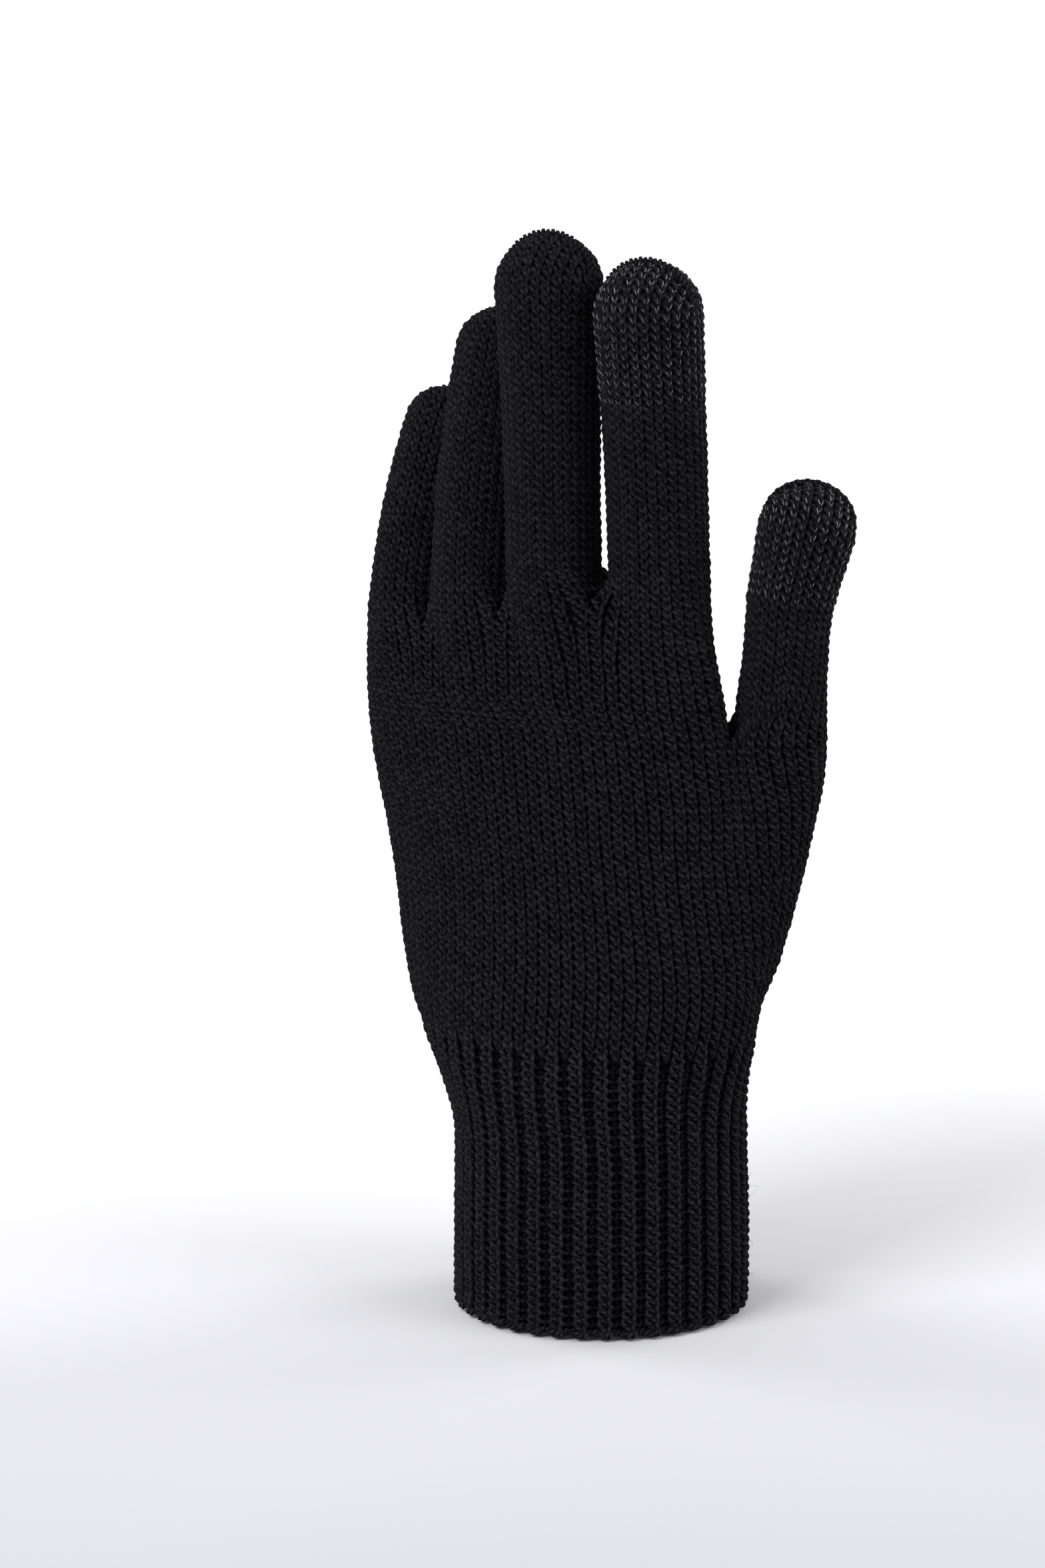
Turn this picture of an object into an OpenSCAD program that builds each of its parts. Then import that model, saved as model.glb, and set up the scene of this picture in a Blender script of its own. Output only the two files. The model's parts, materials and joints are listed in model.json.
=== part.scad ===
// Knitted touchscreen glove, standing on its cuff with the fingers up.
// Origin: centre of the cuff opening, in the plane of the hem edge.
// +Z runs to the fingertips, +X to the thumb side, +Y to the palm side.

/* [Fabric] */
// Thickness of the knitted wall
wall = 1.8; // [1.4:0.1:2.2]
// Free space left between two parts at a joint
joint_gap = 0.5; // [0.4:0.1:0.8]

/* [Cuff] */
// Inside diameter of the hem
opening_d = 59; // [54:1:60]
// Height of the doubled hem
hem_h = 7; // [6:1:8]
// Thickness of the doubled hem
hem_t = 3; // [2.6:0.1:3.2]
// Height of the wrist crease above the hem edge
wrist_z = 63; // [61:1:64]
// Number of raised ribs round the cuff
rib_count = 36; // [30:1:40]
// Depth of the furrow between two ribs
rib_depth = 0.8; // [0.4:0.1:1]
// Number of elastic threads in the cuff
elastic_count = 6; // [3:1:8]
// Thickness of an elastic thread
elastic_d = 0.8; // [0.6:0.1:0.9]

/* [Hand] */
// Half width of the hand at the knuckles
palm_a = 45.5; // [44:0.1:46]
// Half depth of the hand at the knuckles
palm_b = 14; // [13:0.1:15]
// How far the knuckles lie off the cuff centre, away from the thumb
palm_shift = 16; // [15:0.5:17]
// Height of the deck that closes the hand between the finger roots
deck_z = 151; // [149:0.5:152]

/* [Index finger] */
// Root at the web line, across the hand
index_x = 12.2; // [11.5:0.1:13]
// Root at the web line, towards the palm
index_y = 4.5; // [3:0.1:6]
// Height of the web line at this finger
index_z = 159.5; // [158:0.5:161]
// Length of base part, middle part and tip part
index_len = [19, 21, 27]; // [18.5:0.5:28]
// Lean of each part towards the palm, in degrees
index_tilt = [-4, -6, -7]; // [-8:1:6]
// Half width at the root and at the tip
index_r = [11.2, 11.7]; // [10:0.1:12]

/* [Middle finger] */
// Root at the web line, across the hand
middle_x = -11.8; // [-13:0.1:-11]
// Root at the web line, towards the palm
middle_y = 0; // [-1.5:0.1:1.5]
// Height of the web line at this finger
middle_z = 159.5; // [158:0.5:161]
// Length of base part, middle part and tip part
middle_len = [22, 24, 26]; // [20:0.5:28]
// Lean of each part towards the palm, in degrees
middle_tilt = [-2, -2, -2]; // [-6:1:6]
// Half width at the root and at the tip
middle_r = [11.1, 11.8]; // [10:0.1:12]

/* [Ring finger] */
// Root at the web line, across the hand
ring_x = -33.5; // [-34.5:0.1:-33]
// Root at the web line, towards the palm
ring_y = 1; // [-0.5:0.1:2.5]
// Height of the web line at this finger
ring_z = 155; // [154:0.5:156]
// Length of base part, middle part and tip part
ring_len = [19, 19, 22]; // [17:0.5:24]
// Lean of each part towards the palm, in degrees
ring_tilt = [6, 13, 19]; // [0:1:24]
// Half width at the root and at the tip
ring_r = [9.8, 9.4]; // [8:0.1:10]

/* [Little finger] */
// Root at the web line, across the hand
little_x = -53.7; // [-54.5:0.1:-53]
// Root at the web line, towards the palm
little_y = 5.5; // [4:0.1:7]
// Height of the web line at this finger
little_z = 151; // [150:0.5:152]
// Length of base part, middle part and tip part
little_len = [14.5, 14.5, 17.5]; // [14:0.5:19]
// Lean of each part towards the palm, in degrees
little_tilt = [12, 21, 29]; // [0:1:32]
// Lean of each part towards the ring finger, in degrees
little_roll = [2, 2, 2]; // [0:1:2]
// Half width at the root and at the tip
little_r = [9, 8.6]; // [8:0.1:9]

/* [Thumb] */
// Turn of the thumb's bending plane about +Z, in degrees
thumb_turn = 30; // [20:1:35]
// Root at the web line, across its turned plane
thumb_x = 39; // [38:0.1:40]
// Root at the web line, out of its turned plane
thumb_y = -5.5; // [-6.5:0.1:-4.5]
// Height of the web line at the thumb
thumb_z = 133.5; // [132:0.5:135]
// Length of base part and tip part
thumb_len = [19, 26]; // [17:0.5:28]
// Lean of each part away from the fingers, in degrees
thumb_roll = [4, 13]; // [0:1:20]
// Half width at the root and at the tip
thumb_r = [10.2, 9.6]; // [8:0.1:11]

/* [Motion] */
// Bend of the wrist each way, in degrees
wrist_bend = 45; // [30:1:50]
// Bend of a finger at its root, in degrees
root_bend = 60; // [40:1:62]
// Backward bend of a finger at its root, in degrees
root_back = 10; // [5:1:12]
// Bend of a finger at its middle joint, in degrees
middle_bend = 80; // [60:1:82]
// Room for the bend of a finger at its tip joint, in degrees
tip_bend = 48; // [45:1:50]
// Bend of the thumb at its root, in degrees
thumb_bend = 40; // [30:1:45]
// Bend of the thumb at its tip joint, in degrees
thumb_tip_bend = 60; // [40:1:65]
// Backward bend of both thumb joints, in degrees
thumb_back = 12; // [5:1:15]

/* [Hidden] */

// thickness of the slices that hulls are made from
tiny = 0.01;
// clearance between parts that lie in each other, such as a thread in its groove
seat = 0.05;
// size of the blocks that cut a whole limb
big = 120;
// spare degrees on each side of a joint's opening wedge
spare = 1.5;
// distance from the web line up to a finger's first hinge
web_to_hinge = 6;
// depth of a finger compared with its width
depth_ratio = 1;
// how far a finger part runs on past its hinge before the joint is cut
over = 9;
// depths under the web line at which the root of a finger is sliced
root_depths = [36, 22, 9];
facets = 24;
hand_facets = 40;
cuff_facets = 72;
hem_r = opening_d / 2 + hem_t;
rib_wall = wall + 0.3;
yarn_colour = [0.09, 0.09, 0.1];
silver_colour = [0.62, 0.62, 0.64];
elastic_colour = [0.2, 0.2, 0.22];

// height, centre across, centre towards the palm, half width, half depth
hand_rings = [
    [wrist_z - 20, 0, 0, hem_r, hem_r],
    [wrist_z - 10, -2.2, 0, hem_r + 3, hem_r - 1],
    [wrist_z + 4, -4.5, 0, 43.5, 27],
    [80, -6.5, 0, 45, 22],
    [93, -9, 0, 44.2, 18.5],
    [105, -11.3, 0, 44.4, 16.5],
    [117, -13.2, 0.5, palm_a - 0.4, 15.4],
    [130, 0.8 - palm_shift, 1, palm_a, palm_b + 0.5],
    [143, 0.2 - palm_shift, 1, palm_a, palm_b],
    [deck_z, -1.2 - palm_shift, 1, palm_a - 0.6, palm_b - 0.6]
];
// the swell that the thumb grows out of: height, across, towards the palm, radius
thumb_swell = [
    [wrist_z + 6, 17, 6, 16], [80, 22, 9.5, 16.6], [93, 26.4, 11.4, 15.6],
    [105, 30.4, 13, 14], [117, 34, 14.6, 12.2], [125, 36, 14.9, 11]
];
// the hand's edge that the thumb's swell joins: across, towards the palm, radius
swell_inner = [18, 4, 9];

function mix(a, b, t) = a + (b - a) * t;
function lean(tilt, roll = 0) = [cos(tilt) * sin(roll), sin(tilt), cos(tilt) * cos(roll)];

// A finger is [root, lengths, tilts, rolls, half widths]; its joints are worked out from those.
index_finger = [[index_x, index_y, index_z], index_len, index_tilt, [0, 0, 0], index_r];
middle_finger = [[middle_x, middle_y, middle_z], middle_len, middle_tilt, [0, 0, 0], middle_r];
ring_finger = [[ring_x, ring_y, ring_z], ring_len, ring_tilt, [0, 0, 0], ring_r];
little_finger = [[little_x, little_y, little_z], little_len, little_tilt, little_roll, little_r];
thumb = [[thumb_x, thumb_y, thumb_z], thumb_len, [0, 0], thumb_roll, thumb_r];
fingers = [index_finger, middle_finger, ring_finger, little_finger];

function part_dir(f, k) = lean(f[2][k], f[3][k]);
function hinge(f, k) =
    k == 0 ? f[0] + web_to_hinge * part_dir(f, 0) : hinge(f, k - 1) + f[1][k - 1] * part_dir(f, k - 1);
function full_len(f) = web_to_hinge + f[1][0] + f[1][1] + (len(f[1]) > 2 ? f[1][2] : 0);
function len_before(f, k) = k == 0 ? web_to_hinge : len_before(f, k - 1) + f[1][k - 1];
function half_width(f, s) = mix(f[4][0], f[4][1], min(1, max(0, s / full_len(f))));

// A thin elliptical slice across a limb
module slice(p, tilt, roll, a, b, sides) {
    translate(p)
        rotate([-tilt, roll, 0])
            scale([a, b, 1])
                cylinder(r = 1, h = tiny, $fn = sides);
}

// A smooth solid through a row of slices, each [point, tilt, roll, half width, half depth]
module loft(rows, sides) {
    for (i = [0 : len(rows) - 2])
        hull() {
            slice(rows[i][0], rows[i][1], rows[i][2], rows[i][3], rows[i][4], sides);
            slice(rows[i + 1][0], rows[i + 1][1], rows[i + 1][2], rows[i + 1][3], rows[i + 1][4], sides);
        }
}

// The outline of the room above a joint: a shallow roof whose slopes leave space for the bend.
// towards and away are the half angles on the palm side and on the back.
module joint_roof(towards, away) {
    gap = joint_gap / 2;
    rotate([90, 0, 90])
        translate([0, 0, -big])
            linear_extrude(2 * big)
                polygon([
                    [-big, -gap - big * tan(away)], [0, -gap], [big, -gap - big * tan(towards)],
                    [big, 2 * big], [-big, 2 * big]
                ]);
}

// Everything above a joint at p
module above_joint(p, tilt, towards, away) {
    translate(p)
        rotate([-tilt, 0, 0])
            joint_roof(towards, away);
}

// Everything below a joint at p, the mirror image of the room above it
module below_joint(p, tilt, towards, away) {
    translate(p)
        rotate([-tilt, 0, 0])
            mirror([0, 0, 1])
                joint_roof(towards, away);
}

function joint_tilt(f, k) = k == 0 ? f[2][0] : (f[2][k - 1] + f[2][k]) / 2;
function joint_towards(k) =
    spare + [root_bend, middle_bend, tip_bend][k] / 2;
function joint_away(k) = spare + (k == 0 ? root_back / 2 : 0);

// Rows of slices for a straight stretch of a finger, from s0 to s1 along its part k
function stretch_rows(f, k, s0, s1, steps, grow) = [
    for (i = [0 : steps])
        let (s = mix(s0, s1, i / steps))
        let (a = half_width(f, len_before(f, k) + s) + grow)
        [hinge(f, k) + s * part_dir(f, k), f[2][k], f[3][k], a, a * depth_ratio]
];

// Rows for a round tip that closes part k; its last slice stays a little blunt
tip_blunt = 0.6;
function tip_rows(f, k, s0, grow) =
    let (a = half_width(f, full_len(f)) + grow)
    let (s_dome = f[1][k] + grow - a)
    concat(
        stretch_rows(f, k, s0, s_dome, 3, grow),
        [
            for (q = [22.5 : 22.5 : 90])
                let (r = max(tip_blunt, a * cos(q)))
                [hinge(f, k) + (s_dome + a * sin(q)) * part_dir(f, k), f[2][k], f[3][k], r, r * depth_ratio]
        ]
    );

// A tube-shaped part of a finger, open at both ends; its children are cut away
module open_part(f, k) {
    difference() {
        loft(stretch_rows(f, k, -over, f[1][k] + over, 4, 0), facets);
        loft(stretch_rows(f, k, -over - 1, f[1][k] + over + 1, 4, -wall), facets);
        children();
    }
}

// A tip part of a finger, closed over its end; its children are cut away
module closed_part(f, k) {
    difference() {
        loft(tip_rows(f, k, -over, 0), facets);
        loft(tip_rows(f, k, -over - 1, -wall), facets);
        children();
        binding_ridge(f, k, seat);
    }
}

// Room for the bend on the tip side of a finger's joint, cut from the part below it
module room_above(f, k) {
    above_joint(hinge(f, k), joint_tilt(f, k), joint_towards(k), joint_away(k));
}

module room_below(f, k) {
    below_joint(hinge(f, k), joint_tilt(f, k), joint_towards(k), joint_away(k));
}

module finger_part(f, k) {
    open_part(f, k) {
        room_below(f, k);
        room_above(f, k + 1);
    }
}

module finger_tip(f, k) {
    closed_part(f, k) room_below(f, k);
}

// The bound-off ridge over a fingertip: a half ring that runs across the tip
module binding_ridge(f, k, grow) {
    ridge = 0.9;
    sunk = 0.5;
    a = half_width(f, full_len(f));
    translate(hinge(f, k) + (f[1][k] - a) * part_dir(f, k))
        rotate([-f[2][k], f[3][k], 0])
            rotate([90, 0, 0])
                rotate_extrude(angle = 180, $fn = 32)
                    translate([a - sunk, 0])
                        circle(r = ridge + grow, $fn = 14);
}

// Rings of conductive filament that lie on the outside of a touch tip
module silver_rings(f, k) {
    first = 9;
    pitch = 2;
    rings = 4;
    thread = 0.3;
    for (i = [0 : rings - 1])
        let (s = first + i * pitch)
            translate(hinge(f, k) + s * part_dir(f, k))
                rotate([-f[2][k], f[3][k], 0])
                    rotate_extrude($fn = 48)
                        translate([half_width(f, len_before(f, k) + s) + thread + seat, 0])
                            circle(r = thread, $fn = 8);
}

// Root of a finger inside the hand, up past its first hinge; it narrows and leans in lower down
function root_rows(f, grow) = [
    for (depth = concat(root_depths, [-web_to_hinge - 8]))
        let (t = min(1, 1 - depth / root_depths[0]))
        let (a = mix(f[4][0] * 0.7, f[4][0], t) + grow)
        [
            [
                f[0][0] * mix(0.86, 1, t),
                mix(1, f[0][1], t) + max(0, -depth) * tan(f[2][0]),
                f[0][2] - depth
            ],
            0, 0, a, a * depth_ratio
        ]
];

// A point of the thumb's turned plane, in the frame of the part
function thumb_point(p) = [
    p[0] * cos(thumb_turn) - p[1] * sin(thumb_turn),
    p[0] * sin(thumb_turn) + p[1] * cos(thumb_turn),
    p[2]
];

module hand_solid(grow) {
    loft([
        for (r = hand_rings)
            [[r[1], r[2], r[0] + (r[0] == deck_z ? grow : 0)], 0, 0, r[3] + grow, r[4] + grow]
    ], hand_facets);
    for (f = fingers)
        loft(root_rows(f, grow), facets);
    for (i = [0 : len(thumb_swell) - 2])
        hull()
            for (j = [i, i + 1])
                let (t = thumb_swell[j], inner_r = swell_inner[2] + grow) {
                    slice([t[1], t[2], t[0]], 0, 0, t[3] + grow, t[3] + grow, facets);
                    slice([swell_inner[0], swell_inner[1], t[0]], 0, 0, inner_r, inner_r, facets);
                }
    thumb_root_solid(grow);
}

// The end of the thumb's swell, drawn out to its root and on past its first hinge
module thumb_root_solid(grow) {
    top = thumb_swell[len(thumb_swell) - 1];
    inner_x = swell_inner[0] + 4;
    inner_r = swell_inner[2] - 2;
    end = hinge(thumb, 0) + 8 * part_dir(thumb, 0);
    r = thumb_r[0] + grow;
    hull() {
        slice([top[1], top[2], top[0]], 0, 0, top[3] + grow, top[3] + grow, facets);
        slice([inner_x, swell_inner[1], top[0]], 0, 0, inner_r + grow, inner_r + grow, facets);
        slice(thumb_point(thumb[0]), 0, thumb_roll[0], r, r, facets);
    }
    hull() {
        slice(thumb_point(thumb[0]), 0, thumb_roll[0], r, r, facets);
        slice(thumb_point(end), 0, thumb_roll[0], r, r, facets);
    }
}

// Room for the bend at every joint of the hand; the blocks keep a finger's room off its neighbours
module hand_joint_room() {
    beside = 0.4;
    fingers_from = 130;
    thumb_from = 110;
    thumb_side = 13;
    below_joint([0, 0, wrist_z], 0, wrist_bend / 2 + spare, wrist_bend / 2 + spare);
    for (f = fingers)
        intersection() {
            room_above(f, 0);
            translate([f[0][0] - f[4][0] - beside, -big, fingers_from])
                cube([2 * (f[4][0] + beside), 2 * big, big]);
        }
    rotate([0, 0, thumb_turn])
        intersection() {
            thumb_joint_room(0, false);
            translate([thumb_x - thumb_side, thumb_y - big, thumb_from])
                cube([2 * thumb_side, 2 * big, big]);
        }
}

module cuff_hem() {
    roll = 1;
    color(yarn_colour)
        rotate_extrude($fn = 120)
            polygon([
                [opening_d / 2, 0], [hem_r - roll, 0], [hem_r, roll], [hem_r, hem_h - roll],
                [hem_r - roll, hem_h], [opening_d / 2, hem_h]
            ]);
}

// The cuff's outline as slices, from the hem up past the wrist crease
module cuff_solid(grow) {
    loft([
        for (r = concat([[hem_h, 0, 0, hem_r, hem_r]], [for (i = [0 : 2]) hand_rings[i]]))
            [[r[1], r[2], r[0]], 0, 0, r[3] + grow, r[4] + grow]
    ], cuff_facets);
}

module cuff_rib() {
    furrow_out = 0.25;
    color(yarn_colour)
        difference() {
            cuff_solid(0);
            cuff_solid(-rib_wall);
            for (i = [0 : rib_count - 1])
                rotate([0, 0, (i + 0.5) * 360 / rib_count])
                    translate([hem_r + furrow_out, 0, hem_h - 1])
                        cylinder(r = rib_depth, h = hand_rings[0][0] - hem_h, $fn = 6);
            above_joint([0, 0, wrist_z], 0, wrist_bend / 2 + spare, wrist_bend / 2 + spare);
        }
}

// Elastic threads that float on the inside of the rib
module cuff_elastic() {
    pitch = 4;
    color(elastic_colour)
        for (i = [0 : elastic_count - 1])
            translate([0, 0, hem_h + 5 + i * pitch])
                rotate_extrude($fn = cuff_facets)
                    translate([hem_r - rib_wall - elastic_d / 2 - 2 * seat, 0])
                        circle(r = elastic_d / 2, $fn = 8);
}

module hand_tube() {
    color(yarn_colour)
        difference() {
            hand_solid(0);
            hand_solid(-wall);
            hand_joint_room();
        }
}

// Small darned webs that close the fork between neighbouring fingers
module finger_webs() {
    web_depth = 5.5;
    web_reach = 4;
    color(yarn_colour)
        for (i = [0 : 2])
            let (f = fingers[i])
            let (g = fingers[i + 1])
            let (top = min(f[0][2], g[0][2]))
            difference() {
                hull() {
                    for (z = [deck_z + seat, top]) {
                        slice([f[0][0] - web_reach, f[0][1], z], 0, 0, web_reach, web_depth, facets);
                        slice([g[0][0] + web_reach, g[0][1], z], 0, 0, web_reach, web_depth, facets);
                    }
                }
                hand_solid(seat);
            }
}

module index_base() { color(yarn_colour) finger_part(index_finger, 0); }
module index_mid() { color(yarn_colour) finger_part(index_finger, 1); }
module index_touch_tip() { color(yarn_colour) finger_tip(index_finger, 2); }
module index_silver_yarn() { color(silver_colour) silver_rings(index_finger, 2); }
module index_binding() { color(yarn_colour) binding_ridge(index_finger, 2, 0); }

module middle_base() { color(yarn_colour) finger_part(middle_finger, 0); }
module middle_mid() { color(yarn_colour) finger_part(middle_finger, 1); }
module middle_tip() { color(yarn_colour) finger_tip(middle_finger, 2); }
module middle_binding() { color(yarn_colour) binding_ridge(middle_finger, 2, 0); }

module ring_base() { color(yarn_colour) finger_part(ring_finger, 0); }
module ring_mid() { color(yarn_colour) finger_part(ring_finger, 1); }
module ring_tip() { color(yarn_colour) finger_tip(ring_finger, 2); }
module ring_binding() { color(yarn_colour) binding_ridge(ring_finger, 2, 0); }

module little_base() { color(yarn_colour) finger_part(little_finger, 0); }
module little_mid() { color(yarn_colour) finger_part(little_finger, 1); }
module little_tip() { color(yarn_colour) finger_tip(little_finger, 2); }
module little_binding() { color(yarn_colour) binding_ridge(little_finger, 2, 0); }

// Room for the bend at a joint of the thumb, in its turned plane
module thumb_joint_room(k, below) {
    towards = [thumb_bend, thumb_tip_bend][k] / 2 + spare;
    away = thumb_back / 2 + spare;
    if (below)
        below_joint(hinge(thumb, k), 0, towards, away);
    else
        above_joint(hinge(thumb, k), 0, towards, away);
}

module thumb_base() {
    color(yarn_colour)
        rotate([0, 0, thumb_turn])
            open_part(thumb, 0) {
                thumb_joint_room(0, true);
                thumb_joint_room(1, false);
            }
}

module thumb_touch_tip() {
    color(yarn_colour) rotate([0, 0, thumb_turn]) closed_part(thumb, 1) thumb_joint_room(1, true);
}

module thumb_silver_yarn() {
    color(silver_colour) rotate([0, 0, thumb_turn]) silver_rings(thumb, 1);
}

module thumb_binding() {
    color(yarn_colour) rotate([0, 0, thumb_turn]) binding_ridge(thumb, 1, 0);
}

cuff_hem();
cuff_rib();
cuff_elastic();
hand_tube();
finger_webs();
index_base();
index_mid();
index_touch_tip();
index_silver_yarn();
index_binding();
middle_base();
middle_mid();
middle_tip();
middle_binding();
ring_base();
ring_mid();
ring_tip();
ring_binding();
little_base();
little_mid();
little_tip();
little_binding();
thumb_base();
thumb_touch_tip();
thumb_silver_yarn();
thumb_binding();
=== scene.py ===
"""A knitted touchscreen glove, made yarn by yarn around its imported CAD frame.

Lengths are in millimetres until Yarns.build(); the stage, the lights and the camera are in metres.
"""

import json
import math

import bpy
import numpy as np
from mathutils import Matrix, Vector


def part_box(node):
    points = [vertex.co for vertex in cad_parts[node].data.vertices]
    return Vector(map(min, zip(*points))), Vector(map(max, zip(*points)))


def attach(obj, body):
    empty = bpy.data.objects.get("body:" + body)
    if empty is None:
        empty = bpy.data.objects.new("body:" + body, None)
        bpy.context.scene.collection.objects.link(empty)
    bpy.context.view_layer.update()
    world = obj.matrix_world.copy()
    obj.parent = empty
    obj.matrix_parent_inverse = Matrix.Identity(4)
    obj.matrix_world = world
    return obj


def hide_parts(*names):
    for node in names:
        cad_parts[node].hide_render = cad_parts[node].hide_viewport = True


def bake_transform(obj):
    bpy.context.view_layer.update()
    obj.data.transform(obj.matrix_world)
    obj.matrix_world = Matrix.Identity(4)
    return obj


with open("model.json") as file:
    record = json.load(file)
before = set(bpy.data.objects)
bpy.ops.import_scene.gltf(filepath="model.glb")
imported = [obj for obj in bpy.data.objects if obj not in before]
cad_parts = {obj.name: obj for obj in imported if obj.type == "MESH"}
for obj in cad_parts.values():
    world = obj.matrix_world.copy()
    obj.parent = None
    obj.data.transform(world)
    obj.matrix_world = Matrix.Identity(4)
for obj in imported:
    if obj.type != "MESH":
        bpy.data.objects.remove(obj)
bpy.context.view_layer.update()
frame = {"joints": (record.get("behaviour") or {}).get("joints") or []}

MM = 0.001
SEED = 20
YARN_R = 0.58           # radius of the knitting yarn
LOOP_D = 0.40           # how far a loop's legs stand in front of the fabric's middle, and its head behind
LOOP_K = 0.25           # how far a loop's legs lean, in wales
LOOP_SKEW = 0.16        # slant of the loops from the yarn's own twist, in wales
LEG_PAIR = 0.06         # how far the two legs of a loop draw together, in wales
LEG_STEP = 0.13         # how much prouder a loop's left leg stands than its right one
WALE_WAVE = 0.15        # how far the yarn drops back between two columns
COURSE = 2.0            # height of one course of stitches
LOOP_H = 1.62 * COURSE  # height of a loop
FIRST_COURSE = 1.9      # height of the first course over the hem's plane
STEPS = 12              # samples along the yarn in one stitch
SIDES = 5               # sides of the yarn's section
RIB_WAVE = 0.62         # half height of the cuff's ribs
RIB_PINCH = 0.17        # how much of a furrow's width the ribs beside it take up, in wales
RIB_TOP = 64.0          # where the ribs have faded out
RIB_FADE = 7.0          # height over which they fade

PIVOT = {j["name"]: np.array(j["pos_m"]) / MM for j in frame["joints"]}
rng = np.random.default_rng(SEED)


# ---------------------------------------------------------------- small helpers

def smooth(t):
    t = np.clip(t, 0.0, 1.0)
    return t * t * (3 - 2 * t)


def unit(v):
    return v / np.maximum(np.linalg.norm(v, axis=-1, keepdims=True), 1e-9)


def blur(values, sigma, wrap=False):
    """Gaussian blur along the first axis, sigma in samples."""
    if sigma < 0.3:
        return values
    reach = int(3 * sigma) + 1
    kernel = np.exp(-0.5 * (np.arange(-reach, reach + 1) / sigma) ** 2)
    kernel /= kernel.sum()
    if wrap:
        padded = np.concatenate([values[-reach:], values, values[:reach]])
    else:
        head = 2 * values[:1] - values[reach:0:-1]
        tail = 2 * values[-1:] - values[-2:-reach - 2:-1]
        padded = np.concatenate([head, values, tail])
    out = np.zeros_like(values, dtype=float)
    for k, weight in enumerate(kernel):
        out += weight * padded[k:k + len(values)]
    return out


def resample(points, count, closed=False):
    """count points at even distances along a polyline; an open one keeps both ends."""
    if closed:
        points = np.concatenate([points, points[:1]])
    step = np.linalg.norm(np.diff(points, axis=0), axis=1)
    along = np.concatenate([[0], np.cumsum(step)])
    where = np.linspace(0, along[-1], count + 1)[:-1] if closed else np.linspace(0, along[-1], count)
    return np.stack([np.interp(where, along, points[:, k]) for k in range(points.shape[1])], 1)


def node_box(name):
    low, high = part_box(name)
    return np.array(low) / MM, np.array(high) / MM


# ---------------------------------------------------------------- shape of the hand

INSET = 0.9             # from the fabric's outer face to its middle
HEM_R = (node_box("cuff_hem")[1][0] - node_box("cuff_hem")[0][0]) / 2 - RIB_WAVE
WRIST_Z = PIVOT["wrist_bend"][2]
FORK_Z = PIVOT["thumb_root_bend"][2] - 12.5    # fork between thumb and hand

# height, centre across, centre towards the palm, half width, half depth
HAND = np.array([
    [0, 0.2, 0, HEM_R + 0.8, HEM_R + 0.8],
    [14, 0.3, 0, HEM_R + 0.9, HEM_R + 0.9],
    [WRIST_Z - 20, 0, 0, HEM_R + 0.3, HEM_R + 0.3],
    [WRIST_Z - 10, -2.2, 0, HEM_R + 3.4, HEM_R - 0.6],
    [WRIST_Z + 4, -4.3, 0, 42.6, 27],
    [80, -6.3, 0, 44.2, 22],
    [93, -8.8, 0, 44, 18.5],
    [105, -11.2, 0, 44.5, 16.5],
    [117, -13.2, 0.5, 45.2, 15.4],
    [130, -15.2, 1, 45.5, 14.5],
    [143, -15.8, 1, 45.3, 14],
    [151, -16.8, 1, 44.8, 13.4],
    [175, -16.8, 1, 44.8, 13.4],
])
# height, centre across, centre towards the palm, radius of the thumb's swell
SWELL = np.array([
    [0, 12, 4, 4], [WRIST_Z - 8, 14, 4.5, 10], [WRIST_Z + 6, 18.6, 6.5, 17.2],
    [75, 20.6, 8.2, 17.2], [80, 22.2, 9.5, 16.8],
    [93, 26.4, 11.4, 15.6], [105, 30.4, 13, 14], [117, 34, 14.6, 12.2], [125, 36, 14.9, 11],
    [FORK_Z, 36.6, 14.8, 10.3], [FORK_Z + 20, 36.6, 14.8, 10.3],
])
# height, angles on the hand's ellipse between which the thumb's swell lies, in degrees
NECKS = np.array([
    [0, -12, 45], [WRIST_Z, -10, 46], [80, 3, 64], [93, -4, 61], [105, -4, 51], [117, 3, 39],
    [FORK_Z, 1, 29], [FORK_Z + 20, 1, 29],
])
PALM_WALES = 64         # columns of stitches round the hand, without the thumb's
FACING_THUMB = 4        # columns of the hand that face the thumb above the fork
# height, columns of stitches over the thumb's swell
GORE_WALES = np.array([[0, 12], [66, 12], [80, 16], [93, 19], [105, 22], [FORK_Z + 20, 22]])
SAMPLES = 4             # skin columns for each column of stitches
RING = 800              # points round a ring of the hand
SPINE_WALE = 46         # the column that runs up the middle of the back
SWELL_COLS = 96         # skin columns over the thumb's swell
DZ = 0.5                # skin rows, in mm
HEIGHTS = np.arange(0, FORK_Z + 14, DZ)
BASE_Z = round((FORK_Z - 5) / DZ) * DZ      # the fingers' skins start here, inside the hand's


def table(rows, sigma, heights):
    """The columns of a table of shapes at each height, with their corners blurred."""
    return [
        blur(np.interp(heights, rows[:, 0], rows[:, k]), sigma / DZ)
        for k in range(1, rows.shape[1])
    ]


def ellipse(cx, cy, a, b, angle):
    return np.stack([cx + a * np.cos(angle), cy + b * np.sin(angle)], -1)


def reach_to_ellipse(c, cx, cy, a, b, angle):
    """Distance from point c to the ellipse in each direction, or 0 from outside it."""
    px, py = (c[0] - cx) / a, (c[1] - cy) / b
    dx, dy = np.cos(angle) / a, np.sin(angle) / b
    qa, qb, qc = dx * dx + dy * dy, px * dx + py * dy, px * px + py * py - 1
    if qc >= 0:
        return np.zeros_like(angle)
    return (-qb + np.sqrt(qb * qb - qa * qc)) / qa


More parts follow.
